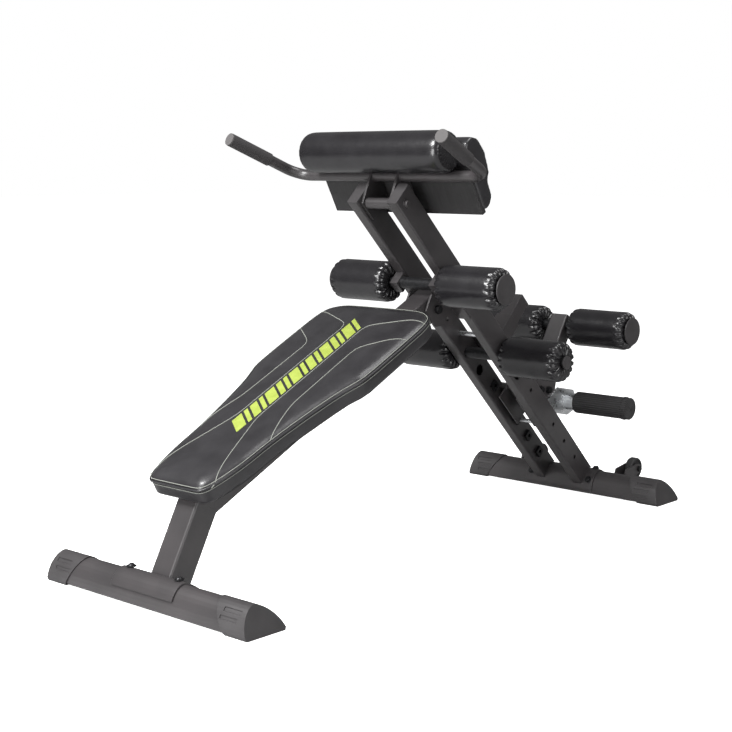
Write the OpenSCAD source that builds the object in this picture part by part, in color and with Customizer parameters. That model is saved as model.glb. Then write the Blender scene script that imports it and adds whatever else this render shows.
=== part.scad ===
// Decline sit-up bench with a hip pad, foam leg rollers and a sliding foot carriage.
// X runs from the front foot to the rear foot, Y to the user's left, Z up.

/* [Frame] */
// Distance between the front edges of the two feet
foot_spacing = 1416; // [1300:1:1480]
// Length of each foot across the bench
foot_length = 600; // [480:1:700]
// Slope of the twin rear beams, measured from the floor
beam_angle = 45; // [44:0.5:46]
// Distance along each beam from its top corner to the floor line
beam_length = 1086; // [1070:1:1100]
// Width of one beam across the bench
beam_w = 30; // [26:1:34]
// Depth of one beam in the side view
beam_d = 60; // [56:1:64]
// Free gap between the two beams
beam_gap = 86; // [82:1:92]
// Wall of every steel tube
tube_wall = 2.5; // [2:0.5:3]

/* [Seat] */
// Slope of the seat, measured from the floor
seat_angle = 25.9; // [25:0.1:27]
// Slope of the front stem, measured from the floor
stem_angle = 62; // [58:0.5:66]
// Side of the square seat tube
seat_tube = 60; // [56:1:60]
// Half width of the seat pad at its shoulders
pad_half_w = 165; // [150:1:180]
// Height of the pad's piping above the seat tube
pad_side = 35; // [30:1:38]
// Crown of the pad above its piping
pad_crown = 14; // [8:1:20]

/* [Rollers] */
// Radius of a foam roller
roller_r = 48; // [40:1:52]
// Length of a foam roller
roller_len = 170; // [150:1:180]
// Outer radius of the roller axles
axle_r = 14; // [12:0.5:14]
// Radius of the ribbed foot pegs
peg_r = 28; // [25:0.5:32]

/* [Hip pad and handlebar] */
// Radius of the front roll of the hip pad
hip_r = 46; // [42:1:47]
// Length of the hip pad across the bench
hip_len = 418; // [380:1:450]
// Radius of the handlebar tube
bar_r = 12.5; // [11:0.5:13]
// Outer radius of the hand grips
grip_r = 15; // [14:0.5:17]

/* [Hidden] */

frame_grey = "#4a4848";
plastic_dark = "#2e2d2e";
pad_black = "#262427";
metal = "#b8babc";
bolt_black = "#1d1c1d";
board_black = "#232122";

// Sides of the cylinders
fine = 48;
// Radial play of a running fit
play = 0.05;
// Running gap between neighbours on different bodies
clear = 0.4;
// Overshoot of a cutting tool
cut = 5;

// Foot section: 100 wide, 60 high, ridge a third of the way back
foot_w = 100;
foot_h = 60;
foot_ridge = 37;
foot_toe = 4;
cap_low = 60;
cap_rise = 37;
cap_step = 2.5;
cap_lean = 14;
floor_pad = 3;

// Overall length, from the front foot to the back of the transport wheels
wheel_r = 28;
wheel_w = 22;
wheel_y = 150;
wheel_x = foot_spacing + 126;
wheel_z = wheel_r + 32;
front_edge = -cap_step;
rear_edge = wheel_x + wheel_r;
mid_x = (front_edge + rear_edge) / 2;

// Beam frame: origin at the beams' top front corner, first axis down the beams,
// third axis square to them, up and back
beam_foot_x = foot_spacing + 25;
beam_top_x = beam_foot_x - beam_length * cos(beam_angle);
beam_top_z = beam_length * sin(beam_angle);
beam_in = beam_gap / 2;
beam_out = beam_in + beam_w;
beam_mid = beam_d / 2;
hole_pitch = 70;
first_hole = 690;
pin_r = 5;

// Seat frame: origin on top of the seat tube above the bend, first axis up the seat
bend_x = 132;
bend_z = 209;
half_turn = (stem_angle - seat_angle) / 2;
pivot_s = 792;
pivot_n = -36;
pivot_r = 6;
bush_t = 4;
tube_end = pivot_s + 26;
board_t = 12;

// Roller axles in the beam frame, as [along, square to the beams]
upper_at = [246, -17];
lower_at = [547, 22];
spare_at = [lower_at[0] + hole_pitch, lower_at[1]];
rear_at = [754, 288];
peg_at = [893, 149];
roller_in = beam_out + 2;
rear_roller_in = 43;
axle_end = roller_in + roller_len + 3;
rear_axle_end = rear_roller_in + roller_len + 3;
cap_disc_r = 34;
small_disc_r = 12;

// Carry post in the beam frame
post_a = 568;
post_end = 214;
post_side = 36;
sleeve_side = 44;
sleeve_end = 150;

// Foot carriage
cheek_t = 4;
cheek_y = 25;
arm_w = 2 * cheek_y;
arm_d = 40;
peg_core_r = 22;
peg_in = 60;
peg_end = 216;
knob_r = 9;
pin_a = first_hole + 2 * hole_pitch;
carriage_low = pin_a - pin_r - clear;

// Hip pad and handlebar in the side view
hip_x = 690;
hip_z = 881;
bar_x = 726;
bar_z = 829;
bar_half = 277;
bar_bend = 50;
bar_tip_x = 534;
bar_tip_y = 309;
bar_tip_z = 911;
grip_len = 118;

// ---- helpers ----

module bench() translate([-mid_x, 0, 0]) children();

module on_beam() translate([beam_top_x, 0, beam_top_z]) rotate([0, beam_angle, 0]) children();

module on_seat() translate([bend_x, 0, bend_z]) rotate([0, -seat_angle, 0]) children();

module both_sides() {
  children();
  mirror([0, 1, 0]) children();
}

// Cylinder along Y between two values of y
module rod_y(r, y0, y1, fn = fine) {
  translate([0, y1, 0]) rotate([90, 0, 0]) cylinder(r = r, h = y1 - y0, $fn = fn);
}

// Plate in the XZ plane between two values of y
module plate_y(points, y0, y1) {
  translate([0, y1, 0]) rotate([90, 0, 0]) linear_extrude(y1 - y0) polygon(points);
}

// Rounded rectangle built from two squares and four circles
module round_rect(w, d, r) {
  square([w - 2 * r, d], center = true);
  square([w, d - 2 * r], center = true);
  for (sx = [-1, 1], sy = [-1, 1])
    translate([sx * (w / 2 - r), sy * (d / 2 - r)]) circle(r = r, $fn = 24);
}

// Rectangular tube along X from x0 to x1, its section centred on the axis
module tube_x(x0, x1, w, d, r = 4) {
  translate([x0, 0, 0]) rotate([90, 0, 90]) linear_extrude(x1 - x0) difference() {
    round_rect(w, d, r);
    round_rect(w - 2 * tube_wall, d - 2 * tube_wall, r - tube_wall + 0.5);
  }
}

// Outline of the foot: a steep rounded front, a ridge, and a long sloping back
function foot_front(t, g) =
  [foot_ridge * (1 - cos(t)) - g * cos(t), floor_pad + foot_toe + (foot_h - floor_pad - foot_toe + g) * sin(t)];
function foot_back(t, g) = let (
    span = foot_w - foot_ridge,
    round_x = foot_ridge + span * sin(t),
    round_z = foot_toe + (foot_h - foot_toe) * cos(t),
    line_x = foot_ridge + span * t / 90,
    line_z = foot_h - (foot_h - foot_toe - floor_pad) * t / 90,
    share = 0.42
  ) [share * round_x + (1 - share) * line_x + g * sin(t), share * round_z + (1 - share) * line_z + g * cos(t)];
function foot_outline(g) = concat(
  [[foot_w - 4 + g, floor_pad - min(g, floor_pad)], [4 - g, floor_pad - min(g, floor_pad)]],
  [for (t = [0:10:90]) foot_front(t, g)],
  [for (t = [10:10:90]) foot_back(t, g)]
);

module foot_prism(g, y0, y1) plate_y(foot_outline(g), y0, y1);

// Steel foot tube, closed by the end caps
foot_half = foot_length / 2;
foot_tube_half = foot_half - cap_lean - 4;

module foot_tube() {
  difference() {
    foot_prism(0, -foot_tube_half, foot_tube_half);
    foot_prism(-tube_wall, -foot_half, foot_half);
  }
}

// Shallow grip slots across the front face of a cap, one above the other
slot_len = 46;
slot_high = 7;
slot_deep = 1.8;
slot_top = 44;
slot_pitch = 14;

module cap_slots(rows) intersection() {
  for (row = [0:rows - 1])
    translate([-cut, -foot_half + 24 + 4 * row, slot_top - slot_pitch * row]) cube([35, slot_len, slot_high]);
  difference() {
    foot_prism(cap_step + 1, -foot_half, 0);
    foot_prism(cap_step - slot_deep, -foot_half - 1, 1);
  }
}

// Slant of the cap in the front view: outer end leans in, inner edge climbs inwards
function cap_outer(z) = -foot_half + cap_lean * z / foot_h;
function cap_inner(z) = -foot_half + cap_low + cap_rise * z / foot_h;

module foot_cap(rows) difference() {
  intersection() {
    foot_prism(cap_step, -foot_half - 1, 0);
    translate([-cut, 0, 0]) rotate([90, 0, 90]) linear_extrude(foot_w + 3 * cut) polygon([
      [cap_outer(0), 0], [cap_inner(0), 0], [cap_inner(80), 80], [cap_outer(80), 80],
    ]);
  }
  foot_prism(0, -foot_tube_half, 1);
  cap_slots(rows);
}

module foot_caps(rows) both_sides() foot_cap(rows);

// Rubber strips under the foot
module foot_pads() {
  both_sides() translate([14, 190, 0]) cube([foot_w - 30, 24, floor_pad]);
}

// Steel saddle that hugs the top of the foot
module saddle(half_w, low, t = 4) {
  difference() {
    foot_prism(t, -half_w, half_w);
    foot_prism(0, -half_w - 1, half_w + 1);
    translate([-60, -half_w - 1, -1]) cube([foot_w + 120, 2 * half_w + 2, low]);
  }
}

// ---- front foot and stem ----

module front_foot() color(frame_grey) bench() foot_tube();

module front_foot_caps() color(plastic_dark) bench() foot_caps(2);

module front_foot_pads() color(bolt_black) bench() foot_pads();

saddle_low = 34;
saddle_half = 92;

module stem_saddle() color(frame_grey) bench() difference() {
  saddle(saddle_half, saddle_low);
  for (sy = [-1, 1]) translate([foot_ridge + 2, sy * 72, 0]) cylinder(d = 8, h = 100, $fn = 24);
}

module stem_bolts() color(bolt_black) bench()
  for (sy = [-1, 1]) translate([foot_ridge + 2, sy * 72, 0]) {
    translate([0, 0, foot_h + 2]) cylinder(d = 8, h = 3, $fn = 24);
    translate([0, 0, foot_h + 4.6]) cylinder(d = 20, h = 2, $fn = 32);
    translate([0, 0, foot_h + 6.6]) intersection() {
      cylinder(d = 15, h = 5, $fn = 32);
      translate([0, 0, -4]) sphere(r = 9, $fn = 32);
    }
  }

// The stem and the seat tube meet in a mitre at half the turn
module mitre_side(keep) {
  on_seat() rotate([0, -half_turn, 0]) translate([keep > 0 ? 0 : -900, -100, -500]) cube([900, 200, 1000]);
}

module stem_tube() color(frame_grey) bench() difference() {
  intersection() {
    on_seat() rotate([0, -(stem_angle - seat_angle), 0]) translate([0, 0, -seat_tube / 2])
      tube_x(-300, 60, seat_tube, seat_tube, 5);
    mitre_side(-1);
  }
  foot_prism(4, -100, 100);
  translate([-200, -100, -200]) cube([600, 200, 200 + saddle_low]);
}

module seat_tube() color(frame_grey) bench() difference() {
  intersection() {
    on_seat() translate([0, 0, -seat_tube / 2]) tube_x(-60, tube_end, seat_tube, seat_tube, 5);
    mitre_side(1);
  }
  on_seat() translate([pivot_s, 0, pivot_n]) rod_y(pivot_r + bush_t, -50, 50);
}

module seat_tube_plug() color(plastic_dark) bench() on_seat()
  translate([tube_end, 0, -seat_tube / 2]) rotate([90, 0, 90]) {
    linear_extrude(3) round_rect(seat_tube, seat_tube, 5);
    translate([0, 0, -10]) linear_extrude(10)
      round_rect(seat_tube - 2 * tube_wall - 0.2, seat_tube - 2 * tube_wall - 0.2, 3);
  }

// Half outline of the seat pad: distance up the seat and half width
pad_shape = [
  [-30, 0], [-30, 58], [-22, 74], [0, 88], [35, 101], [80, 108], [150, 110], [228, 122],
  [314, 138], [350, 147], [378, 160], [400, 165], [600, 165], [634, 158], [656, 140], [666, 110], [668, 0],
];
function pad_points(grow) = [
  for (p = pad_shape) [p[0] < 0 ? p[0] - grow : p[0] > 640 ? p[0] + grow : p[0],
                       p[1] * (pad_half_w + grow) / pad_half_w],
];
function whole_outline(half) =
  concat(half, [for (i = [len(half) - 2:-1:1]) [half[i][0], -half[i][1]]]);

module pad_prism(grow, n0, n1) translate([0, 0, n0]) linear_extrude(n1 - n0)
  polygon(whole_outline(pad_points(grow)));

module seat_board() color(board_black) bench() on_seat() pad_prism(-8, 0, board_t);

module seat_pad() color(pad_black) bench() on_seat() {
  difference() {
    pad_prism(0, 1, pad_side);
    pad_prism(-8, 0, board_t);
  }
  hull() {
    pad_prism(0, pad_side, pad_side + 1);
    pad_prism(-16, pad_side + pad_crown - 5, pad_side + pad_crown - 4);
    pad_prism(-34, pad_side + pad_crown - 1, pad_side + pad_crown);
  }
}

// Bolts through the tube into the board, heads under the tube
module seat_bolts() color(bolt_black) bench() on_seat()
  for (s = [90, 330, 570]) translate([s, 0, -seat_tube]) {
    translate([0, 0, -2]) cylinder(d = 22, h = 2, $fn = 32);
    translate([0, 0, -7.2]) cylinder(d = 14.4, h = 5.2, $fn = 6);
  }

// ---- seat hinge ----

cheek_in = seat_tube / 2 + 0.6;
bracket_t = 5;

function pivot_world() = [
  bend_x + pivot_s * cos(seat_angle) - pivot_n * sin(seat_angle),
  bend_z + pivot_s * sin(seat_angle) + pivot_n * cos(seat_angle),
];
function world_to_beam(p) = let (dx = p[0] - beam_top_x, dz = p[1] - beam_top_z)
  [dx * cos(beam_angle) - dz * sin(beam_angle), dx * sin(beam_angle) + dz * cos(beam_angle)];
pivot_b = world_to_beam(pivot_world());
bracket_top = pivot_b[0] - 36;
bracket_low = pivot_b[0] + 74;
lock_hole = [pivot_b[0] + 44, pivot_b[1] + 8];

module seat_bracket() color(frame_grey) bench() on_beam() both_sides() {
  difference() {
    plate_y([
      [bracket_top, -bracket_t], [bracket_top - 4, pivot_b[1] + 14], [bracket_top + 8, pivot_b[1] - 30],
      [pivot_b[0] + 22, pivot_b[1] - 34], [bracket_low - 8, -bracket_t - 26], [bracket_low, -bracket_t],
    ], cheek_in, cheek_in + bracket_t);
    translate([pivot_b[0], 0, pivot_b[1]]) rod_y(pivot_r, 0, 60);
    translate([lock_hole[0], 0, lock_hole[1]]) rod_y(pin_r, 0, 60);
  }
  translate([bracket_top, cheek_in, -bracket_t])
    cube([bracket_low - bracket_top, beam_out - 1 - cheek_in, bracket_t]);
}

module pivot_bolt() color(bolt_black) bench() on_beam() translate([pivot_b[0], 0, pivot_b[1]]) {
  rod_y(pivot_r, -cheek_in - bracket_t, cheek_in + bracket_t);
  translate([0, -cheek_in - bracket_t, 0]) rotate([90, 0, 0]) {
    cylinder(d = 21, h = 2, $fn = 32);
    translate([0, 0, 2]) cylinder(d = 19, h = 7, $fn = 6);
  }
  translate([0, cheek_in + bracket_t, 0]) rotate([-90, 0, 0]) {
    cylinder(d = 21, h = 2, $fn = 32);
    translate([0, 0, 2]) cylinder(d = 19, h = 9, $fn = 6);
  }
}

// Flanged nylon bush that turns on the pivot bolt
module pivot_bushes() color(plastic_dark) bench() on_seat() translate([pivot_s, 0, pivot_n])
  difference() {
    rod_y(pivot_r + bush_t, -seat_tube / 2, seat_tube / 2);
    rod_y(pivot_r + play, -60, 60);
  }

// ---- twin beams ----

module beam(holes, side) on_beam() difference() {
  translate([0, side * (beam_in + beam_w / 2), beam_mid]) tube_x(0, beam_length + 60, beam_w, beam_d, 4);
  for (a = holes) translate([a, 0, beam_mid]) rod_y(pin_r + play, -100, 100);
  for (at = [lower_at, spare_at]) translate([at[0], 0, at[1]]) rod_y(axle_r, -100, 100);
}

module beam_foot_cut() {
  translate([foot_spacing, 0, 0]) foot_prism(4, -200, 200);
  translate([foot_spacing - 200, -200, -200]) cube([600, 400, 200 + 22]);
  translate([foot_spacing + foot_ridge, -200, -200]) cube([400, 400, 200 + foot_h + 4]);
}

module beam_left() color(frame_grey) bench() difference() {
  beam([for (k = [0:4]) first_hole + k * hole_pitch], 1);
  beam_foot_cut();
}

module beam_right() color(frame_grey) bench() difference() {
  beam([first_hole, first_hole + 2 * hole_pitch, first_hole + 3 * hole_pitch, first_hole + 4 * hole_pitch], -1);
  beam_foot_cut();
}

module beam_caps() color(plastic_dark) bench() on_beam()
  both_sides() translate([0, beam_in + beam_w / 2, beam_mid]) rotate([90, 0, 90]) {
    translate([0, 0, -4]) linear_extrude(4) round_rect(beam_w, beam_d, 4);
    linear_extrude(12) round_rect(beam_w - 2 * tube_wall - 0.2, beam_d - 2 * tube_wall - 0.2, 2);
  }

spacer_at = [21, beam_mid - 8];

module top_spacer() color(frame_grey) bench() on_beam() translate([spacer_at[0], 0, spacer_at[1]]) {
  rod_y(12.5, -beam_in, beam_in);
  for (sy = [-1, 1]) translate([0, sy * beam_out, 0]) rotate([-90 * sy, 0, 0]) {
    cylinder(d = 22, h = 2, $fn = 32);
    translate([0, 0, 2]) cylinder(d = 16, h = 7, $fn = 32);
  }
}

module cross_rod() color(metal) bench() on_beam() translate([491, 0, beam_mid + 6])
  rod_y(6, -beam_in, beam_in, 32);

// Square weld nuts behind the adjustment holes
module pin_bosses() color(bolt_black) bench() on_beam() both_sides()
  for (k = [0, 2, 3, 4]) translate([first_hole + k * hole_pitch, 0, beam_mid]) difference() {
    translate([-11, beam_in - 7, -11]) cube([22, 7, 22]);
    rod_y(pin_r + play, 0, 60);
  }

// ---- rear foot ----

module rear_foot() color(frame_grey) bench() translate([foot_spacing, 0, 0]) foot_tube();

module rear_foot_caps() color(plastic_dark) bench() translate([foot_spacing, 0, 0]) foot_caps(3);

module rear_foot_pads() color(bolt_black) bench() translate([foot_spacing, 0, 0]) foot_pads();

rear_half = 104;

module rear_saddle() color(frame_grey) bench() translate([foot_spacing, 0, 0])
  saddle(rear_half, 14);

// Low button-headed bolts through the saddle's front and back
module rear_bolts() color(bolt_black) bench() translate([foot_spacing, 0, 0])
  for (sy = [-1, 1]) {
    translate([foot_front(35, 4)[0], sy * 90, foot_front(35, 4)[1]]) rotate([0, -62, 0]) bolt_button();
    translate([foot_ridge + 2, sy * 90, foot_h + 4]) bolt_button();
  }

module bolt_button() {
  cylinder(d = 18, h = 2, $fn = 32);
  translate([0, 0, 2]) cylinder(d = 13, h = 4, $fn = 6);
}

// ---- transport wheels ----

wheel_bolt_r = 5;

module wheel_brackets() color(frame_grey) bench() both_sides()
  for (side = [-1, 1]) let (y0 = wheel_y + side * (wheel_w / 2 + 1.5) + (side < 0 ? -4 : 0)) difference() {
    plate_y([
      [wheel_x - 70, 46], [wheel_x - 62, 66], [wheel_x - 8, wheel_z + 14],
      [wheel_x + 10, wheel_z + 10], [wheel_x + 13, wheel_z - 4], [wheel_x - 4, wheel_z - 13],
      [wheel_x - 40, 30],
    ], y0, y0 + 4);
    translate([foot_spacing, 0, 0]) foot_prism(0, 0, 300);
    translate([wheel_x, 0, wheel_z]) rod_y(wheel_bolt_r, 0, 300);
  }

module wheel_bolts() color(bolt_black) bench() both_sides() translate([wheel_x, 0, wheel_z]) {
  rod_y(wheel_bolt_r, wheel_y - wheel_w / 2 - 5.5, wheel_y + wheel_w / 2 + 5.5);
  rod_y(8, wheel_y + wheel_w / 2 + 5.5, wheel_y + wheel_w / 2 + 10.5, 6);
  rod_y(8, wheel_y - wheel_w / 2 - 10.5, wheel_y - wheel_w / 2 - 5.5, 6);
}

module wheel(side) color(bolt_black) bench() translate([wheel_x, side * wheel_y, wheel_z])
  rotate([90, 0, 0]) translate([0, 0, -wheel_w / 2]) rotate_extrude($fn = fine) polygon([
    [wheel_bolt_r + play, 0], [12, 0], [12, 4], [wheel_r - 7, 4], [wheel_r - 6, 1], [wheel_r - 2, 1],
    [wheel_r, 4], [wheel_r, wheel_w - 4], [wheel_r - 2, wheel_w - 1], [wheel_r - 6, wheel_w - 1],
    [wheel_r - 7, wheel_w - 4], [12, wheel_w - 4], [12, wheel_w], [wheel_bolt_r + play, wheel_w],
  ]);

module wheel_left() wheel(1);

module wheel_right() wheel(-1);

// ---- foam rollers ----

// Roller with rounded shoulders, bored to run on its axle; starts at y = 0
module foam_roller() rotate([-90, 0, 0]) rotate_extrude($fn = fine) polygon(concat(
  [[axle_r + play, 0], [roller_r - 12, 0]],
  [for (t = [15:15:75]) [roller_r - 12 + 12 * sin(t), 12 - 12 * cos(t)]],
  [[roller_r, 12], [roller_r, roller_len - 12]],
  [for (t = [75:-15:15]) [roller_r - 12 + 12 * sin(t), roller_len - 12 + 12 * cos(t)]],
  [[roller_r - 12, roller_len], [axle_r + play, roller_len]]
));

module axle_tube(half) difference() {
  rod_y(axle_r, -half, half);
  rod_y(axle_r - tube_wall, -half - 1, half + 1);
}

// Plug with a flat disc that closes an axle end
module axle_cap(half, disc_r) both_sides() translate([0, half, 0]) {
  rod_y(disc_r, 0, 3);
  rod_y(axle_r - tube_wall, -12, 0);
}

module on_axle(at) bench() on_beam() translate([at[0], 0, at[1]]) children();

module roller_left(at, start) color(pad_black) on_axle(at) translate([0, start, 0]) foam_roller();

module roller_right(at, start) color(pad_black) on_axle(at) mirror([0, 1, 0]) translate([0, start, 0])
  foam_roller();

module upper_axle() color(bolt_black) on_axle(upper_at) axle_tube(axle_end);

module upper_axle_caps() color(plastic_dark) on_axle(upper_at) axle_cap(axle_end, cap_disc_r);

module upper_axle_clamps() color(frame_grey) bench() on_beam() both_sides() difference() {
  translate([upper_at[0] - axle_r - 2, beam_in + 4, upper_at[1] - axle_r - 2])
    cube([2 * axle_r + 4, beam_w - 8, axle_r + 2 - upper_at[1]]);
  translate([upper_at[0], 0, upper_at[1]]) rod_y(axle_r, 0, 100);
}

module upper_roller_left() roller_left(upper_at, roller_in);

module upper_roller_right() roller_right(upper_at, roller_in);

module lower_axle() color(bolt_black) on_axle(lower_at) axle_tube(axle_end);

module lower_axle_caps() color(plastic_dark) on_axle(lower_at) axle_cap(axle_end, small_disc_r + 4);

module lower_roller_left() roller_left(lower_at, roller_in);

module lower_roller_right() roller_right(lower_at, roller_in);

module rear_axle() color(bolt_black) on_axle(rear_at) axle_tube(rear_axle_end);

module rear_axle_caps() color(plastic_dark) on_axle(rear_at) axle_cap(rear_axle_end, cap_disc_r);

module rear_roller_left() roller_left(rear_at, rear_roller_in);

module rear_roller_right() roller_right(rear_at, rear_roller_in);

// ---- foot carriage ----

arm_foot = [800, 96];
arm_lean = atan2(rear_at[1] - arm_foot[1], rear_at[0] - arm_foot[0]);
arm_len = norm(rear_at - arm_foot);

module on_arm() translate([arm_foot[0], 0, arm_foot[1]]) rotate([0, -arm_lean, 0]) children();

module carriage() color(frame_grey) bench() on_beam() {
  both_sides() plate_y([
    [712, 12], [carriage_low, 12], [carriage_low, 58], [836, 68], [838, 112], [812, 150], [780, 142], [718, 60],
  ], cheek_y, cheek_y + cheek_t);
  translate([724, -cheek_y, 50]) cube([38, 2 * cheek_y, cheek_t]);
}

// Zinc-plated plates outside the carriage's cheeks that carry the pegs
module peg_bracket() color(metal) bench() on_beam() both_sides() difference() {
  plate_y([[812, 86], [844, 74], [912, 118], [926, 146], [914, 172], [886, 182], [826, 142]],
    cheek_y + cheek_t, cheek_y + 2 * cheek_t);
  translate([peg_at[0], 0, peg_at[1]]) rod_y(peg_core_r, 0, 60);
}

module carriage_glides() color(plastic_dark) bench() on_beam() both_sides()
  translate([714, cheek_y + cheek_t, 44]) cube([96, beam_in - clear - cheek_y - cheek_t, 11]);

module carriage_arm() color(frame_grey) bench() on_beam() difference() {
  on_arm() tube_x(-30, arm_len + 24, arm_w, arm_d, 4);
  translate([rear_at[0], 0, rear_at[1]]) rod_y(axle_r, -60, 60);
}

module carriage_bolt() color(bolt_black) bench() on_beam()
  for (at = [[772, 92], [800, 112]]) both_sides() translate([at[0], cheek_y + cheek_t, at[1]])
    rotate([-90, 0, 0]) {
      cylinder(d = 20, h = 2, $fn = 32);
      translate([0, 0, 2]) cylinder(d = 16, h = 7, $fn = 6);
    }

// Pin through both beams that the carriage stands on, with a knob on the left
module support_pin() color(metal) bench() on_beam() translate([pin_a, 0, beam_mid]) {
  rod_y(pin_r, -beam_in - 7, beam_out + 8);
  rod_y(knob_r, beam_out + 8, beam_out + 26);
}

module peg_tube() color(metal) on_axle(peg_at) difference() {
  rod_y(peg_core_r, -peg_end + 6, peg_end - 6);
  rod_y(peg_core_r - tube_wall, -peg_end, peg_end);
}

// Closed rubber sleeves with a collar at the outer end
module peg_sleeves() color(bolt_black) on_axle(peg_at) both_sides() difference() {
  union() {
    rod_y(peg_r, peg_in, peg_end);
    rod_y(peg_r + 1.5, peg_end - 16, peg_end - 12);
  }
  rod_y(peg_core_r, 0, peg_end - 6);
}

// ---- carry post ----

module carry_post_sleeve() color(frame_grey) bench() on_beam() difference() {
  union() {
    translate([post_a - sleeve_side / 2, -sleeve_side / 2, beam_d + 5])
      cube([sleeve_side, sleeve_side, sleeve_end - beam_d - 5]);
    translate([post_a - sleeve_side / 2 - 12, -beam_out + 1, beam_d]) cube([sleeve_side + 24, 2 * beam_out - 2, 5]);
  }
  translate([post_a - post_side / 2, -post_side / 2, beam_d - 1]) cube([post_side, post_side, 200]);
}

module carry_post() color(frame_grey) bench() on_beam() difference() {
  translate([post_a - post_side / 2, -post_side / 2, beam_d]) cube([post_side, post_side, post_end - beam_d]);
  translate([post_a - post_side / 2 + tube_wall, -post_side / 2 + tube_wall, beam_d - 1])
    cube([post_side - 2 * tube_wall, post_side - 2 * tube_wall, 300]);
}

module carry_post_cap() color(plastic_dark) bench() on_beam() {
  translate([post_a - post_side / 2, -post_side / 2, post_end]) cube([post_side, post_side, 4]);
  translate([post_a - post_side / 2 + tube_wall, -post_side / 2 + tube_wall, post_end - 10])
    cube([post_side - 2 * tube_wall, post_side - 2 * tube_wall, 10]);
}

// ---- hip pad and handlebar ----

// The board's under face runs from its top front edge to its bottom rear edge
board_top = [738, 846];
board_low = [792, 746];
board_run = norm(board_low - board_top);
board_lean = atan2(board_top[1] - board_low[1], board_low[0] - board_top[0]);
hip_half = hip_len / 2;
tail_half = hip_half + 14;
board_edge = 6;

module on_board() translate([board_top[0], 0, board_top[1]]) rotate([0, board_lean, 0]) children();

module hip_board() color(board_black) bench() on_board()
  translate([0, board_edge - tail_half, 0]) cube([board_run, 2 * (tail_half - board_edge), board_t]);

module hip_roll() color(pad_black) bench() translate([hip_x, 0, hip_z]) rod_y(hip_r, -hip_half, hip_half);

module hip_tail_pad() color(pad_black) bench() difference() {
  on_board() plate_y([
    [1, 12.2], [board_run - 1, 12.2], [board_run + 2, 20], [board_run, 34], [board_run - 18, 46],
    [board_run - 50, 46], [board_run - 66, 60], [-6, 66], [-40, 58], [-56, 40], [-52, 14], [-30, 2], [-2, 2],
    [-2, 12.2],
  ], -tail_half, tail_half);
  translate([hip_x, 0, hip_z]) rod_y(hip_r + 0.5, -tail_half - 1, tail_half + 1);
}

// Side plates inside the beams that carry the bar and the board
module hip_bracket() color(frame_grey) bench() difference() {
  both_sides() plate_y([
    [beam_top_x + 11, beam_top_z], [beam_top_x + 48, beam_top_z - 37], [beam_top_x + 81, beam_top_z - 4],
    [board_low[0] - 1.5, board_low[1] + 1], [board_top[0] - 0.2, board_top[1] - 1], [bar_x - 10, bar_z + 12],
    [bar_x - 17, bar_z - 4],
  ], beam_in - 6, beam_in - 0.01);
  translate([bar_x, 0, bar_z]) rod_y(bar_r, -100, 100);
  on_beam() translate([spacer_at[0], 0, spacer_at[1]]) rod_y(12.5, -60, 60);
  on_board() translate([-40, -300, 0]) cube([300, 600, 100]);
}

// Bend of the bar: from straight across to the direction of the grip
tip = [bar_tip_x - bar_x, bar_tip_y - bar_half, bar_tip_z - bar_z];
tip_len = norm(tip);
tip_turn = acos(tip[1] / tip_len);
tip_roll = atan2(tip[2], -tip[0]);
bend_run = bar_bend * tan(tip_turn / 2);
// Hairline between the straight runs and the bends
joint_line = 0.02;

// Straight run, arc and grip leg of one half, in the plane of the bend
module half_bar(r, leg0, leg1) {
  translate([0, bar_half, 0]) rotate([0, tip_roll, 0]) rotate([0, 0, tip_turn])
    translate([0, leg0, 0]) rod_y(r, 0, leg1 - leg0);
}

module bar_arc(r) translate([0, bar_half - bend_run, 0]) rotate([0, tip_roll, 0])
  translate([-bar_bend, 0, 0]) rotate_extrude(angle = tip_turn, $fn = 64) translate([bar_bend, 0]) circle(r = r, $fn = 32);

module handlebar() color(frame_grey) bench() translate([bar_x, 0, bar_z]) {
  rod_y(bar_r, -bar_half + bend_run + joint_line, bar_half - bend_run - joint_line);
  both_sides() {
    bar_arc(bar_r);
    half_bar(bar_r, bend_run + joint_line, tip_len - 3);
  }
}

module hand_grips() color(bolt_black) bench() translate([bar_x, 0, bar_z]) both_sides() difference() {
  half_bar(grip_r, tip_len - grip_len, tip_len - 3);
  half_bar(bar_r, 0, tip_len);
}

module handle_plugs() color(metal) bench() translate([bar_x, 0, bar_z]) both_sides()
  half_bar(grip_r - 0.5, tip_len - 3, tip_len);

front_foot();
front_foot_caps();
front_foot_pads();
stem_saddle();
stem_bolts();
stem_tube();
seat_tube();
seat_tube_plug();
seat_board();
seat_pad();
seat_bolts();
seat_bracket();
pivot_bolt();
pivot_bushes();
beam_left();
beam_right();
beam_caps();
top_spacer();
cross_rod();
pin_bosses();
rear_foot();
rear_foot_caps();
rear_foot_pads();
rear_saddle();
rear_bolts();
wheel_brackets();
wheel_bolts();
wheel_left();
wheel_right();
upper_axle();
upper_axle_clamps();
upper_axle_caps();
upper_roller_left();
upper_roller_right();
lower_axle();
lower_axle_caps();
lower_roller_left();
lower_roller_right();
carriage();
peg_bracket();
carriage_glides();
carriage_arm();
carriage_bolt();
support_pin();
rear_axle();
rear_axle_caps();
rear_roller_left();
rear_roller_right();
peg_tube();
peg_sleeves();
carry_post();
carry_post_sleeve();
carry_post_cap();
hip_bracket();
hip_board();
hip_roll();
hip_tail_pad();
handlebar();
hand_grips();
handle_plugs();
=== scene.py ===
# Decline sit-up bench: looks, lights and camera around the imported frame.
import math
import random

import bmesh
import bpy
from mathutils import Matrix, Vector


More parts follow.
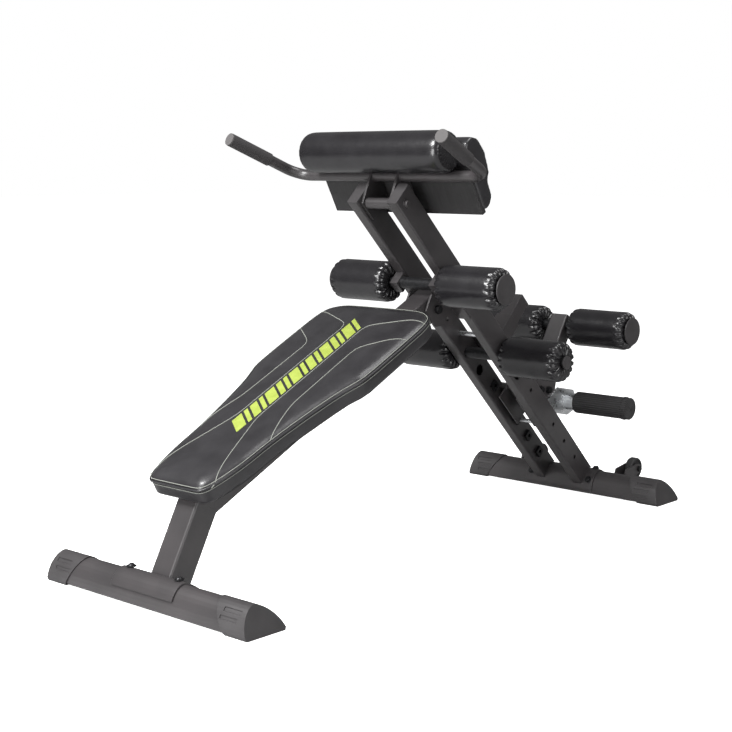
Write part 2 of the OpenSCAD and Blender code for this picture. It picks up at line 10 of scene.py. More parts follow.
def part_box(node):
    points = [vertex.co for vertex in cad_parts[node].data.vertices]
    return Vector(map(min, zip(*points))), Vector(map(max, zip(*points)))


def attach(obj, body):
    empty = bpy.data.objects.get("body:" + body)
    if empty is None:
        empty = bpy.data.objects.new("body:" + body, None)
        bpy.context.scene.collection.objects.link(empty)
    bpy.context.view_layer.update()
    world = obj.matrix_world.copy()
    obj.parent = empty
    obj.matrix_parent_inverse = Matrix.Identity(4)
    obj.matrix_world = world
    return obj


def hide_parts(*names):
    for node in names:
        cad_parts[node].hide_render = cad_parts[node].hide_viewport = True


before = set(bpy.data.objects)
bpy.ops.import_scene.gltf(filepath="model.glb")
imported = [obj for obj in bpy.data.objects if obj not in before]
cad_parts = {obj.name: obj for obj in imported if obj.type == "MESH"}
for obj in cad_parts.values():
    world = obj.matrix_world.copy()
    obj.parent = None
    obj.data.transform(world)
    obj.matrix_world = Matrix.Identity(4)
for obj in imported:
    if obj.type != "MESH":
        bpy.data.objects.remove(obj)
scene = bpy.context.scene
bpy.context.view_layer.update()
print("frame loaded:", len(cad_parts), "nodes")


# small tools

def toLinear(code):
    parts = [int(code[i:i + 2], 16) / 255 for i in (1, 3, 5)]
    return [c / 12.92 if c <= 0.04045 else ((c + 0.055) / 1.055) ** 2.4 for c in parts] + [1]


def addNode(tree, kind, settings=None, values=None, links=None):
    node = tree.nodes.new(kind)
    for key, value in (settings or {}).items():
        setattr(node, key, value)
    for key, value in (values or {}).items():
        node.inputs[key].default_value = value
    for key, source in (links or {}).items():
        tree.links.new(source, node.inputs[key])
    return node


def newMaterial(name, colour, roughness, metallic=0.0, ior=1.5):
    material = bpy.data.materials.new(name)
    material.use_nodes = True
    tree = material.node_tree
    shader = tree.nodes["Principled BSDF"]
    shader.inputs["Base Color"].default_value = toLinear(colour)
    shader.inputs["Roughness"].default_value = roughness
    shader.inputs["Metallic"].default_value = metallic
    shader.inputs["IOR"].default_value = ior
    return material, tree, shader


def objectNoise(tree, millimetres, detail=3.0, rough=0.5):
    # noise whose features are about that many millimetres wide
    place = addNode(tree, "ShaderNodeTexCoord")
    return addNode(tree, "ShaderNodeTexNoise",
                   values={"Scale": 1000 / millimetres, "Detail": detail, "Roughness": rough},
                   links={"Vector": place.outputs["Object"]})


def tint(tree, shader, dark, light, source, low=0.3, high=0.7):
    # base colour that drifts between two shades
    ramp = addNode(tree, "ShaderNodeValToRGB", links={"Fac": source})
    ramp.color_ramp.elements[0].position = low
    ramp.color_ramp.elements[0].color = toLinear(dark)
    ramp.color_ramp.elements[1].position = high
    ramp.color_ramp.elements[1].color = toLinear(light)
    tree.links.new(ramp.outputs["Color"], shader.inputs["Base Color"])
    return ramp


def relief(tree, shader, height, millimetres, strength=1.0, edge=0.0):
    # bump of that depth, over edges softened to that radius
    links = {"Height": height}
    if edge:
        soft = addNode(tree, "ShaderNodeBevel", {"samples": 4}, {"Radius": edge / 1000})
        links["Normal"] = soft.outputs["Normal"]
    bump = addNode(tree, "ShaderNodeBump",
                   values={"Strength": strength, "Distance": millimetres / 1000}, links=links)
    tree.links.new(bump.outputs["Normal"], shader.inputs["Normal"])
    return bump


# materials

def powderCoat():
    # powder-coated steel: satin charcoal with a fine orange peel
    material, tree, shader = newMaterial("PowderCoatedSteel", "#343233", 0.38)
    broad = objectNoise(tree, 90, 2)
    tint(tree, shader, "#2f2d2e", "#393637", broad.outputs["Fac"])
    peel = objectNoise(tree, 1.4, 2)
    relief(tree, shader, peel.outputs["Fac"], 0.05, 0.5, 1.4)
    shader.inputs["Coat Weight"].default_value = 0.15
    shader.inputs["Coat Roughness"].default_value = 0.25
    return material


def darkPlastic():
    # moulded polypropylene: charcoal with a spark-eroded grain
    material, tree, shader = newMaterial("MouldedPolypropylene", "#353334", 0.45, ior=1.49)
    grain = objectNoise(tree, 0.9, 2)
    tint(tree, shader, "#302e2f", "#3a3839", objectNoise(tree, 60, 2).outputs["Fac"])
    relief(tree, shader, grain.outputs["Fac"], 0.06, 0.5, 1.2)
    return material


def blackSteel():
    # blackened steel bolts and axles: phosphate finish, a little oily
    material, tree, shader = newMaterial("BlackenedSteel", "#1f1f20", 0.38, 0.6)
    wear = objectNoise(tree, 6, 3)
    tint(tree, shader, "#181819", "#2a2a2c", wear.outputs["Fac"])
    relief(tree, shader, wear.outputs["Fac"], 0.03, 0.4, 0.6)
    return material


def zincPlate():
    # bright zinc plate: a metal with faint cloudy patches in its gloss
    material, tree, shader = newMaterial("BrightZincPlate", "#dcdee0", 0.3, 1.0)
    cloud = objectNoise(tree, 14, 3)
    spread = addNode(tree, "ShaderNodeMapRange",
                     values={"From Min": 0.3, "From Max": 0.7, "To Min": 0.22, "To Max": 0.42},
                     links={"Value": cloud.outputs["Fac"]})
    tree.links.new(spread.outputs["Result"], shader.inputs["Roughness"])
    relief(tree, shader, cloud.outputs["Fac"], 0.03, 0.3, 0.8)
    return material


def blackRubber():
    # moulded rubber: wheels, floor strips
    material, tree, shader = newMaterial("MouldedRubber", "#232223", 0.68, ior=1.52)
    grain = objectNoise(tree, 0.8, 2)
    tint(tree, shader, "#1e1d1e", "#2b2a2b", objectNoise(tree, 30, 3).outputs["Fac"])
    relief(tree, shader, grain.outputs["Fac"], 0.08, 0.5, 0.8)
    return material


def ribbedRubber():
    # peg sleeves: moulded rubber with fine ribs along them, all the way round
    material, tree, shader = newMaterial("RibbedRubber", "#2b2a2b", 0.55, ior=1.52)
    low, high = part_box("peg_sleeves")
    place = addNode(tree, "ShaderNodeTexCoord")
    parts = addNode(tree, "ShaderNodeSeparateXYZ", links={"Vector": place.outputs["Object"]})
    across = addNode(tree, "ShaderNodeMath", {"operation": "SUBTRACT"}, {1: (low.x + high.x) / 2},
                     {0: parts.outputs["X"]})
    up = addNode(tree, "ShaderNodeMath", {"operation": "SUBTRACT"}, {1: (low.z + high.z) / 2},
                 {0: parts.outputs["Z"]})
    angle = addNode(tree, "ShaderNodeMath", {"operation": "ARCTAN2"},
                    links={0: up.outputs["Value"], 1: across.outputs["Value"]})
    count = addNode(tree, "ShaderNodeMath", {"operation": "MULTIPLY"}, {1: 32.0}, {0: angle.outputs["Value"]})
    wave = addNode(tree, "ShaderNodeMath", {"operation": "SINE"}, links={0: count.outputs["Value"]})
    # colour follows the rib wave and is darker down in the grooves between the ribs: painted shade
    tint(tree, shader, "#1c1b1c", "#302f30", wave.outputs["Value"], 0.0, 0.9)
    relief(tree, shader, wave.outputs["Value"], 0.5, 0.8)
    return material


def foamGrip():
    # nitrile foam grips: dull, finely pitted
    material, tree, shader = newMaterial("NitrileFoam", "#2e2c2d", 0.78, ior=1.45)
    place = addNode(tree, "ShaderNodeTexCoord")
    pits = addNode(tree, "ShaderNodeTexVoronoi", {"feature": "F1"}, {"Scale": 1000 / 1.1},
                   {"Vector": place.outputs["Object"]})
    # colour follows the pit cells and is darker down in the pits where the bump sinks: painted shade
    tint(tree, shader, "#262425", "#363435", pits.outputs["Distance"], 0.0, 0.8)
    relief(tree, shader, pits.outputs["Distance"], 0.15, 0.6, 1.0)
    return material


def palePlug():
    # end plugs: grey moulded plastic
    material, tree, shader = newMaterial("GreyPlastic", "#4c4a4a", 0.8, ior=1.49)
    relief(tree, shader, objectNoise(tree, 0.9, 2).outputs["Fac"], 0.04, 0.4, 0.8)
    return material


def paintedBoard():
    # plywood boards painted black: stretched noise for the grain under the paint
    material, tree, shader = newMaterial("PaintedPlywood", "#201f20", 0.6, ior=1.46)
    place = addNode(tree, "ShaderNodeTexCoord")
    stretch = addNode(tree, "ShaderNodeMapping", links={"Vector": place.outputs["Object"]})
    stretch.inputs["Scale"].default_value = (8, 160, 8)
    grain = addNode(tree, "ShaderNodeTexNoise", values={"Scale": 3.0, "Detail": 5.0, "Distortion": 0.6},
                    links={"Vector": stretch.outputs["Vector"]})
    tint(tree, shader, "#1b1a1b", "#282728", grain.outputs["Fac"])
    relief(tree, shader, grain.outputs["Fac"], 0.1, 0.4, 0.8)
    return material


def leatherette(name, dark, light, roughness, swell):
    # PVC leatherette over foam: pebble grain of 1.6 mm cells, with broad soft swells under it
    material, tree, shader = newMaterial(name, light, roughness, ior=1.52)
    place = addNode(tree, "ShaderNodeTexCoord")
    cells = addNode(tree, "ShaderNodeTexVoronoi", {"feature": "SMOOTH_F1"},
                    {"Scale": 1000 / 1.6, "Smoothness": 0.6, "Randomness": 1.0},
                    {"Vector": place.outputs["Object"]})
    broad = objectNoise(tree, 45, 3)
    both = addNode(tree, "ShaderNodeMath", {"operation": "MULTIPLY_ADD"}, {1: swell},
                   {0: broad.outputs["Fac"], 2: cells.outputs["Distance"]})
    tint(tree, shader, dark, light, broad.outputs["Fac"])
    relief(tree, shader, both.outputs["Value"], 0.12, 0.45)
    return material


def thread():
    # polyester top stitching: twisted, so ribbed across every 1.2 mm
    material, tree, shader = newMaterial("PolyesterThread", "#7c7e78", 0.7, ior=1.53)
    twist = objectNoise(tree, 1.2, 1)
    relief(tree, shader, twist.outputs["Fac"], 0.2, 0.6)
    return material


def limePrint():
    # screen-printed lime ink, with the grain of the cover showing through
    material, tree, shader = newMaterial("LimeInk", "#8a9840", 0.55, ior=1.45)
    place = addNode(tree, "ShaderNodeTexCoord")
    cells = addNode(tree, "ShaderNodeTexVoronoi", {"feature": "SMOOTH_F1"},
                    {"Scale": 1000 / 1.6, "Smoothness": 0.6}, {"Vector": place.outputs["Object"]})
    tint(tree, shader, "#84923a", "#909e46", objectNoise(tree, 20, 2).outputs["Fac"])
    relief(tree, shader, cells.outputs["Distance"], 0.1, 0.4)
    return material


steel = powderCoat()
plastic = darkPlastic()
black = blackSteel()
zinc = zincPlate()
rubber = blackRubber()
ribbed = ribbedRubber()
foam = foamGrip()
plug = palePlug()
board = paintedBoard()
seatVinyl = leatherette("CushionLeatherette", "#1f1e20", "#29282a", 0.33, 8.0)
rollVinyl = leatherette("RollerLeatherette", "#161517", "#1e1d1f", 0.26, 22.0)
stitchThread = thread()
lime = limePrint()
print("materials made:", len(bpy.data.materials))


# finishes of the frame's own parts

finishes = {
    steel: "front_foot stem_saddle stem_tube seat_tube seat_bracket beam_left beam_right top_spacer rear_foot"
           " rear_saddle wheel_brackets upper_axle_clamps carriage carriage_arm carry_post"
           " carry_post_sleeve hip_bracket handlebar",
    plastic: "front_foot_caps rear_foot_caps seat_tube_plug beam_caps carry_post_cap pivot_bushes"
             " carriage_glides upper_axle_caps lower_axle_caps rear_axle_caps",
    black: "stem_bolts seat_bolts pivot_bolt rear_bolts wheel_bolts carriage_bolt pin_bosses upper_axle"
           " lower_axle rear_axle",
    zinc: "cross_rod peg_bracket support_pin peg_tube",
    rubber: "front_foot_pads rear_foot_pads wheel_left wheel_right",
    ribbed: "peg_sleeves",
    foam: "hand_grips",
    plug: "handle_plugs",
    board: "seat_board hip_board",
}
for material, names in finishes.items():
    for name in names.split():
        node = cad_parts[name]
        for slot in node.material_slots:
            slot.material = material
print("frame finishes set")


# modelling helpers

def startEdit(piece):
    bpy.ops.object.select_all(action="DESELECT")
    bpy.context.view_layer.objects.active = piece
    piece.select_set(True)
    bpy.ops.object.mode_set(mode="EDIT")
    bpy.ops.mesh.select_mode(type="VERT")
    bpy.ops.mesh.select_all(action="SELECT")


def endEdit():
    bpy.ops.object.mode_set(mode="OBJECT")


def pick(test):
    # selects the vertices that pass the test
    bpy.ops.mesh.select_all(action="DESELECT")
    mesh = bmesh.from_edit_mesh(bpy.context.object.data)
    for vertex in mesh.verts:
        vertex.select_set(bool(test(vertex.co)))
    mesh.select_flush_mode()
    bmesh.update_edit_mesh(bpy.context.object.data)


def pickFace(test):
    bpy.ops.mesh.select_mode(type="FACE")
    bpy.ops.mesh.select_all(action="DESELECT")
    mesh = bmesh.from_edit_mesh(bpy.context.object.data)
    for face in mesh.faces:
        face.select_set(bool(test(face.calc_center_median(), face.normal)))
    bmesh.update_edit_mesh(bpy.context.object.data)


def applyModifier(piece, name):
    bpy.ops.object.select_all(action="DESELECT")
    bpy.context.view_layer.objects.active = piece
    piece.select_set(True)
    bpy.ops.object.modifier_apply(modifier=name)


def settle(piece, place=None):
    # moves the piece to its place and leaves its object at the origin
    bpy.ops.object.select_all(action="DESELECT")
    bpy.context.view_layer.objects.active = piece
    piece.select_set(True)
    if place is not None:
        piece.matrix_world = place @ piece.matrix_world
    bpy.ops.object.transform_apply(location=True, rotation=True, scale=True)


def dress(piece, material, smooth=True):
    piece.data.materials.clear()
    piece.data.materials.append(material)
    bpy.ops.object.select_all(action="DESELECT")
    bpy.context.view_layer.objects.active = piece
    piece.select_set(True)
    if smooth:
        bpy.ops.object.shade_smooth()


def outlinePlate(name, points):
    # flat plate with the given outline, lying in its own XY plane
    bpy.ops.mesh.primitive_circle_add(vertices=len(points), radius=1, fill_type="NGON")
    piece = bpy.context.object
    piece.name = name
    for vertex, point in zip(piece.data.vertices, points):
        vertex.co = (point[0], point[1], 0)
    return piece


def remesh(piece, size, free):
    # even grid over the piece, eased where the test lets it
    grid = piece.modifiers.new("grid", "REMESH")
    grid.mode = "VOXEL"
    grid.voxel_size = size
    applyModifier(piece, "grid")
    ease = piece.modifiers.new("ease", "SMOOTH")
    ease.factor = 0.5
    ease.iterations = 6
    loose = piece.vertex_groups.new(name="loose")
    loose.add([vertex.index for vertex in piece.data.vertices if free(vertex.co)], 1.0, "REPLACE")
    ease.vertex_group = "loose"
    applyModifier(piece, "ease")
    piece.vertex_groups.clear()


def puffUp(piece, pressure, cap, held):
    # blows the cover up like foam under vinyl; vertices that pass the test stay put
    before = [vertex.co.copy() for vertex in piece.data.vertices]
    pins = piece.vertex_groups.new(name="held")
    pins.add([vertex.index for vertex in piece.data.vertices if held(vertex.co)], 1.0, "REPLACE")
    cloth = piece.modifiers.new("stuffing", "CLOTH")
    cloth.settings.quality = 4
    cloth.settings.mass = 0.4
    cloth.settings.tension_stiffness = 30
    cloth.settings.compression_stiffness = 30
    cloth.settings.shear_stiffness = 20
    cloth.settings.use_pressure = True
    cloth.settings.uniform_pressure_force = pressure
    cloth.settings.effector_weights.gravity = 0
    cloth.settings.vertex_group_mass = "held"
    cloth.point_cache.frame_start = 1
    cloth.point_cache.frame_end = 20
    for step in range(1, 21):
        scene.frame_set(step)
    applyModifier(piece, "stuffing")
    scene.frame_set(1)
    for vertex, start in zip(piece.data.vertices, before):
        move = vertex.co - start
        if move.length > cap:
            vertex.co = start + move.normalized() * cap
    piece.vertex_groups.clear()


def refine(piece):
    finer = piece.modifiers.new("finer", "SUBSURF")
    finer.levels = 1
    applyModifier(piece, "finer")


def threadLine(name, runs, radius, material, closed=False):
    # one tube along each run of points
    data = bpy.data.curves.new(name, "CURVE")
    data.dimensions = "3D"
    data.bevel_depth = radius
    data.bevel_resolution = 2
    for run in runs:
        spline = data.splines.new("POLY")
        spline.points.add(len(run) - 1)
        for point, place in zip(spline.points, run):
            point.co = (*place, 1)
        spline.use_cyclic_u = closed
    piece = bpy.data.objects.new(name, data)
    scene.collection.objects.link(piece)
    bpy.ops.object.select_all(action="DESELECT")
    bpy.context.view_layer.objects.active = piece
    piece.select_set(True)
    bpy.ops.object.convert(target="MESH")
    piece = bpy.context.object
    dress(piece, material)
    return piece


def alongLine(points, step):
    # evenly spaced points along a line of corners, a little rounded at the corners
    soft = [Vector(p) for p in points]
    for turn in range(2):
        cut = [soft[0]]
        for a, b in zip(soft, soft[1:]):
            share = min(0.25, 0.012 / (b - a).length)
            cut += [a.lerp(b, share), a.lerp(b, 1 - share)]
        soft = cut + [soft[-1]]
    run, left = [soft[0]], step
    for a, b in zip(soft, soft[1:]):
        span = (b - a).length
        while span > left:
            a = a.lerp(b, left / span)
            run.append(a)
            span, left = span - left, step
        left -= span
    return run + [soft[-1]]


# seat pad

seat = {
    "angle": 25.9,
    "origin": (-0.65175, 0, 0.209),
    "shape": [(-0.030, 0.030), (-0.030, 0.064), (-0.027, 0.077), (-0.016, 0.086), (0.000, 0.091),
              (0.035, 0.100), (0.080, 0.107), (0.150, 0.110), (0.228, 0.121), (0.290, 0.132),
              (0.335, 0.142), (0.366, 0.153), (0.390, 0.162), (0.430, 0.1645),
              (0.500, 0.165), (0.560, 0.165), (0.605, 0.164), (0.634, 0.157),
              (0.652, 0.143), (0.662, 0.122), (0.666, 0.100), (0.667, 0.040)],
    "widest": 0.165,
    "rearFrom": 0.64,
    "side": 0.036,
    "flatBelow": 0.012,
    "heldBelow": 0.016,
    "heldRim": 0.0025,
    "thread": 0.0009,
    "edgeThread": 0.0008,
    "piping": 0.0022,
    "crown": [(0.004, 0.005), (0.007, 0.005), (0.010, 0.0035), (0.014, 0.002)],
    "innerSeam": [(-0.012, 0.094), (0.200, 0.029), (0.570, 0.029), (0.606, 0.118), (0.618, 0.160)],
    "outerSeam": [(0.152, 0.106), (0.262, 0.076), (0.484, 0.072), (0.548, 0.160)],
    "seamStep": 0.004,
    "seamHold": 0.0032,
    "grid": 0.005,
    "pressure": 4.0,
    "cap": 0.009,
}
seatPlace = Matrix.Translation(Vector(seat["origin"])) @ Matrix.Rotation(math.radians(-seat["angle"]), 4, "Y")


def seatOutline(grow):
    # the seat's outline, moved outwards by that much at both ends and at the widest place
    wider = 1 + grow / seat["widest"]
    half = []
    for s, y in seat["shape"]:
        along = -grow if s < 0 else grow if s > seat["rearFrom"] else 0
        half.append((s + along, y * wider))
    return half + [(s, -y) for s, y in reversed(half)]


def nearSeam(point):
    for name in ("innerSeam", "outerSeam"):
        line = seatLines[name]
        for p in line:
            if (p[0] - point[0]) ** 2 + (p[1] - abs(point[1])) ** 2 < seat["seamHold"] ** 2:
                return True
    return False


seatLines = {}
for name in ("innerSeam", "outerSeam"):
    seatLines[name] = alongLine([(s, y, 0) for s, y in seat[name]], seat["seamStep"])
seatPad = outlinePlate("seat_cushion", seatOutline(-0.003))
startEdit(seatPad)
bpy.ops.mesh.extrude_region_move(TRANSFORM_OT_translate={"value": (0, 0, seat["side"] - 0.001)})
endEdit()
startEdit(seatPad)
bpy.ops.mesh.normals_make_consistent(inside=False)
pickFace(lambda middle, normal: normal.z > 0.9 and middle.z > seat["side"] / 2)
for inset, rise in seat["crown"]:
    bpy.ops.mesh.inset(thickness=inset)
    bpy.ops.transform.translate(value=(0, 0, rise))
endEdit()
seatPad.location = (0, 0, 0.001)
settle(seatPad)
remesh(seatPad, seat["grid"], lambda p: p.z > seat["flatBelow"])
puffUp(seatPad, seat["pressure"], seat["cap"],
       lambda p: (p.z < seat["heldBelow"] or abs(p.z - seat["side"]) < seat["heldRim"]
                  or p.z > 0.03 and nearSeam(p)))
refine(seatPad)


def onSeat(s, y, lift):
    # the point of the cushion's top over that spot, in seat coordinates
    hit, place, normal, index = seatPad.ray_cast(Vector((s, y, 0.2)), Vector((0, 0, -1)))
    return place + normal * lift if hit else Vector((s, y, seat["side"] + lift))


def seatRun(points, lift):
    return [onSeat(p[0], p[1], lift) for p in points]


def smoothOutline(grow, height):
    loop = [Vector((s, y, height)) for s, y in seatOutline(grow)]
    for turn in range(2):
        loop = [p for a, b in zip(loop, loop[1:] + loop[:1]) for p in (a.lerp(b, 0.25), a.lerp(b, 0.75))]
    return loop


seams = []
for name in ("innerSeam", "outerSeam"):
    for side in (1, -1):
        seams.append(seatRun([(p[0], side * p[1]) for p in seatLines[name]], 0.0003))
seatThread = threadLine("seat_stitching", seams, seat["thread"], stitchThread)
edging = [smoothOutline(-0.0014, seat["side"] - 0.006), smoothOutline(-0.0045, seat["side"] + 0.0045)]
edgeThread = threadLine("seat_edge_stitching", edging, seat["edgeThread"], stitchThread, closed=True)
pipingRun = smoothOutline(-0.0018, seat["side"])
piping = threadLine("seat_piping", [pipingRun], seat["piping"], seatVinyl, closed=True)
dress(seatPad, seatVinyl)

# slanted lime blocks down the middle of the seat
blocks = {
    "from": 0.160,
    "to": 0.572,
    "half": 0.0225,
    "slant": 0.016,
    "gap": 0.007,
    "widths": [0.030, 0.012, 0.022, 0.012, 0.030, 0.016, 0.012],
    "steps": 8,
    "lift": 0.0004,
}


def blockPrint():
    bpy.ops.mesh.primitive_plane_add(size=0.01)
    piece = bpy.context.object
    piece.name = "seat_print"
    mesh = bmesh.new()
    start, turn = blocks["from"], 0
    while start < blocks["to"]:
        width = blocks["widths"][turn % len(blocks["widths"])]
        rows = []
        for row in range(blocks["steps"] + 1):
            y = blocks["half"] * (2 * row / blocks["steps"] - 1)
            lean = blocks["slant"] * y / blocks["half"]
            places = [onSeat(start + lean + width * column / 4, y, blocks["lift"]) for column in range(5)]
            rows.append([mesh.verts.new(place) for place in places])
        for low, high in zip(rows, rows[1:]):
            for column in range(4):
                mesh.faces.new((low[column], low[column + 1], high[column + 1], high[column]))
        start += width + blocks["gap"]
        turn += 1
    mesh.to_mesh(piece.data)
    mesh.free()
    dress(piece, lime)
    return piece


seatPrint = blockPrint()
for piece in (seatPad, seatThread, edgeThread, piping, seatPrint):
    settle(piece, seatPlace)
    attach(piece, "seat")
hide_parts("seat_pad")
print("seat cushion made")


# rollers and rolls: one ring pulled along the axis, then gathered into pleats at both ends

roller = {
    "ends": [(0.0035, 0.0158), (0.0012, 0.0225), (0.0006, 0.0300), (0.0012, 0.0370), (0.0040, 0.0428),
             (0.0085, 0.0464), (0.0130, 0.0476), (0.0180, 0.0481), (0.0215, 0.0479), (0.0270, 0.0480),
             (0.0400, 0.0478)],
    "middle": 0.0478,
    "segments": 96,
    "pleat": 6,
    "depth": 0.0052,
    "pinch": 0.90,
    "reach": 0.0185,
}


def drawRings(name, centre, rings, segments):
    # rings are (y, radius) from one end to the other
    first = rings[0]
    bpy.ops.mesh.primitive_circle_add(vertices=segments, radius=first[1], fill_type="NOTHING",
                                      location=(centre[0], first[0], centre[1]), rotation=(math.pi / 2, 0, 0))
    piece = bpy.context.object
    piece.name = name
    settle(piece)
    startEdit(piece)
    for last, ring in zip(rings, rings[1:]):
        bpy.ops.mesh.extrude_region_move(TRANSFORM_OT_translate={"value": (0, ring[0] - last[0], 0)})
        grow = ring[1] / last[1]
        bpy.ops.transform.resize(value=(grow, 1, grow), center_override=(centre[0], ring[0], centre[1]))
    endEdit()
    return piece


def gather(piece, centre, rings, segments, start, end, settings, seed):
    # folds of the cover at both ends: pairs of point lines sink in, unevenly
    chance = random.Random(seed)
    kinds = [chance.choice((0, 1, 1, 2)) for fold in range(segments // settings["pleat"])]
    startEdit(piece)
    bpy.ops.mesh.select_mode(type="VERT")
    for y, radius in rings:
        away = 1 if abs(y - start) < abs(y - end) else -1
        depth = min(abs(y - start), abs(y - end))
        reach = min(1.0, (radius - 0.012) / 0.02) * (1 - 0.6 * depth / settings["reach"])
        if min(abs(y - start), abs(y - end)) > settings["reach"]:
            continue
        for kind, share in ((0, 0.5), (1, 0.85), (2, 1.25)):

            def inFold(p):
                if abs(p.y - y) > 0.0001:
                    return False
                turn = math.atan2(p.z - centre[1], p.x - centre[0]) / (2 * math.pi) % 1
                line = round(turn * segments) % segments
                return line % settings["pleat"] < 2 and kinds[line // settings["pleat"]] == kind

            pick(inFold)
            sink = settings["depth"] * share * reach
            pull = 1 - (1 - settings["pinch"]) * share * reach
            bpy.ops.transform.resize(value=(pull, 1, pull), center_override=(centre[0], y, centre[1]))
            bpy.ops.transform.translate(value=(0, away * sink, 0))
    endEdit()


def makeRoller(node, body, seed):
    low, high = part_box(node)
    centre = ((low.x + high.x) / 2, (low.z + high.z) / 2)
    rings = [(low.y + d, r) for d, r in roller["ends"]] + [((low.y + high.y) / 2, roller["middle"])]
    rings += [(high.y - d, r) for d, r in reversed(roller["ends"])]
    piece = drawRings(node + "_cover", centre, rings, roller["segments"])
    gather(piece, centre, rings, roller["segments"], low.y, high.y, roller, seed)
    startEdit(piece)
    bpy.ops.mesh.normals_make_consistent(inside=False)
    endEdit()
    refine(piece)
    dress(piece, rollVinyl)
    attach(piece, body)
    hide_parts(node)
    return piece


for seed, kind in enumerate(("upper", "lower", "rear")):
    for side in ("left", "right"):
        makeRoller(kind + "_roller_" + side, kind + "_roller_" + side + "_body", seed * 7 + len(side))
print("rollers made")


# hip roll: a long padded roll with its cover folded in at the ends

hipRoll = {
    "ends": [(0.0060, 0.0060), (0.0020, 0.0180), (0.0022, 0.0300), (0.0050, 0.0330), (0.0035, 0.0360),
             (0.0075, 0.0415), (0.0140, 0.0447), (0.0240, 0.0460), (0.0500, 0.0460)],
    "hole": 0.0071,
    "sameRing": 0.0008,
    "middle": 0.0462,
    "segments": 96,
    "pleat": 4,
    "depth": 0.0009,
    "pinch": 0.992,
    "reach": 0.012,
}


def makeHipRoll():
    low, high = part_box("hip_roll")
    centre = ((low.x + high.x) / 2, (low.z + high.z) / 2)
    rings = [(low.y + d, r) for d, r in hipRoll["ends"]]
    rings += [(low.y + (high.y - low.y) * part, hipRoll["middle"]) for part in (0.25, 0.5, 0.75)]
    rings += [(high.y - d, r) for d, r in reversed(hipRoll["ends"])]
    piece = drawRings("hip_roll_cover", centre, rings, hipRoll["segments"])
    gather(piece, centre, rings, hipRoll["segments"], low.y, high.y, hipRoll, 5)
    startEdit(piece)
    for y in (rings[0][0], rings[-1][0]):
        pick(lambda p: abs(p.y - y) < hipRoll["sameRing"]
             and math.hypot(p.x - centre[0], p.z - centre[1]) < hipRoll["hole"])
        bpy.ops.mesh.edge_face_add()
    bpy.ops.mesh.select_all(action="SELECT")
    bpy.ops.mesh.normals_make_consistent(inside=False)
    endEdit()
    refine(piece)
    dress(piece, rollVinyl)
    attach(piece, "frame")
    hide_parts("hip_roll")
    return piece


makeHipRoll()
print("hip roll made")


# tail pad behind the roll

tail = {
    "boardTop": (-0.04575, 0.846),
    "lean": 61.5,
    "outline": [(-0.002, 0.003), (-0.030, 0.003), (-0.052, 0.014), (-0.057, 0.038), (-0.040, 0.058),
                (-0.006, 0.066), (0.040, 0.060), (0.056, 0.046), (0.088, 0.045), (0.105, 0.034),
                (0.109, 0.020), (0.106, 0.006)],
    "half": 0.221,
    "grid": 0.005,
    "pressure": 4.0,
    "cap": 0.005,
}


def makeTailPad():
    piece = outlinePlate("tail_cushion", tail["outline"])
    startEdit(piece)
    bpy.ops.mesh.extrude_region_move(TRANSFORM_OT_translate={"value": (0, 0, 2 * tail["half"])})
    endEdit()
    startEdit(piece)
    bpy.ops.mesh.normals_make_consistent(inside=False)
    endEdit()
    # outline X runs down the board, outline Y away from it, thickness across the bench
    across = Matrix(((1, 0, 0, 0), (0, 0, -1, tail["half"]), (0, 1, 0, 0), (0, 0, 0, 1)))
    place = Matrix.Translation(Vector((tail["boardTop"][0], 0, tail["boardTop"][1])))
    place = place @ Matrix.Rotation(math.radians(tail["lean"]), 4, "Y") @ across
    settle(piece, place)
    remesh(piece, tail["grid"], lambda p: True)
    flip = place.inverted()
    puffUp(piece, tail["pressure"], tail["cap"],
           lambda p: (flip @ p).y < 0.005 or abs(abs(p.y) - tail["half"] + 0.003) < 0.002)
    refine(piece)
    dress(piece, seatVinyl)
    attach(piece, "frame")
    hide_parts("hip_tail_pad")
    return piece


makeTailPad()
print("tail pad made")


# floor, lights and camera

studio = {
    "floor": 60,
    "world": 0.2,
    "glow": 0.97,
    "bounce": "#b4b4b4",
    "key": {"place": (-2.3, 0.5, 2.7), "size": 1.1, "power": 170},
    "top": {"place": (0.4, -0.9, 3.1), "size": 1.4, "power": 50},
    "side": {"place": (-0.9, -3.4, 1.2), "size": 1.7, "power": 55},
    "front": {"place": (-3.5, 0.1, 0.75), "size": 1.5, "power": 88},
    "aim": (0.0, 0.0, 0.45),
}


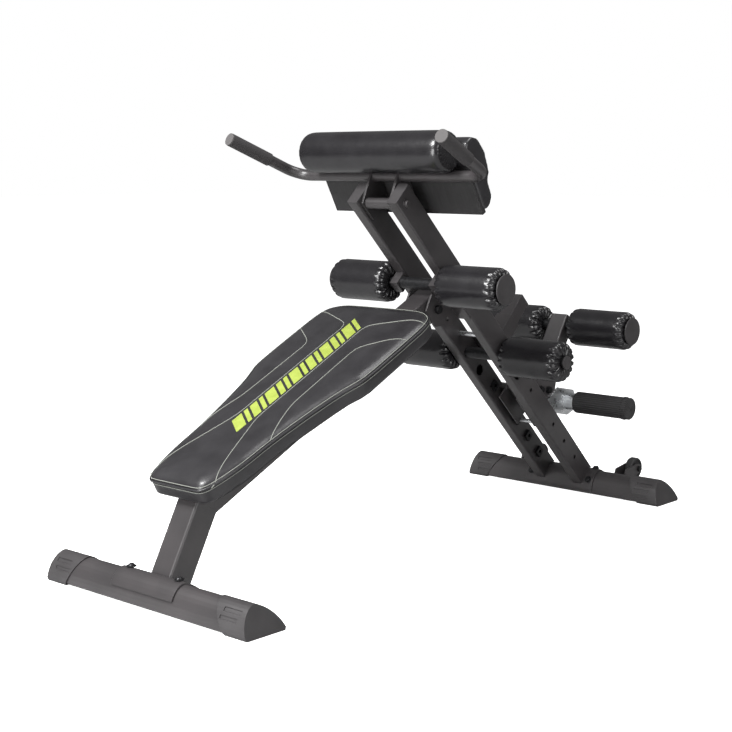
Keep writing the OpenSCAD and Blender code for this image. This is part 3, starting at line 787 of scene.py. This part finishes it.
def studioPaper():
    # paper floor that looks white itself but throws less light back up at the bench
    material, tree, shader = newMaterial("StudioPaper", "#f4f4f4", 0.9)
    shader.inputs["Emission Color"].default_value = (1, 1, 1, 1)
    shader.inputs["Emission Strength"].default_value = studio["glow"]
    bounce = addNode(tree, "ShaderNodeBsdfDiffuse", values={"Color": toLinear(studio["bounce"])})
    path = addNode(tree, "ShaderNodeLightPath")
    chooser = addNode(tree, "ShaderNodeMixShader",
                      links={0: path.outputs["Is Camera Ray"], 1: bounce.outputs["BSDF"],
                             2: shader.outputs["BSDF"]})
    tree.links.new(chooser.outputs["Shader"], tree.nodes["Material Output"].inputs["Surface"])
    return material


bpy.ops.mesh.primitive_plane_add(size=studio["floor"])
floor = bpy.context.object
floor.name = "studio_floor"
dress(floor, studioPaper(), False)
for name in ("key", "top", "side", "front"):
    lamp = studio[name]
    bpy.ops.object.light_add(type="AREA", location=lamp["place"])
    light = bpy.context.object
    light.name = "studio_" + name
    light.data.size = lamp["size"]
    light.data.energy = lamp["power"]
    light.rotation_euler = (Vector(studio["aim"]) - Vector(lamp["place"])).to_track_quat("-Z", "Y").to_euler()
world = bpy.data.worlds.new("Studio")
scene.world = world
world.use_nodes = True
worldTree = world.node_tree
soft = worldTree.nodes["Background"]
soft.inputs["Color"].default_value = (1, 1, 1, 1)
soft.inputs["Strength"].default_value = studio["world"]
bright = addNode(worldTree, "ShaderNodeBackground", values={"Color": (1, 1, 1, 1), "Strength": 1.0})
path = addNode(worldTree, "ShaderNodeLightPath")
chooser = addNode(worldTree, "ShaderNodeMixShader", links={0: path.outputs["Is Camera Ray"],
                                                           1: soft.outputs["Background"],
                                                           2: bright.outputs["Background"]})
worldTree.links.new(chooser.outputs["Shader"], worldTree.nodes["World Output"].inputs["Surface"])

view = {"place": (-2.52165, -2.1579, 0.8555), "heading": 42.06, "down": 7.889, "lens": 71.73}
bpy.ops.object.camera_add(location=view["place"])
camera = bpy.context.object
camera.rotation_euler = (math.radians(90 - view["down"]), 0, math.radians(view["heading"] - 90))
camera.data.lens = view["lens"]
camera.data.sensor_width = 36
camera.data.clip_end = 60
scene.camera = camera
scene.view_settings.view_transform = "Standard"
print("studio set")
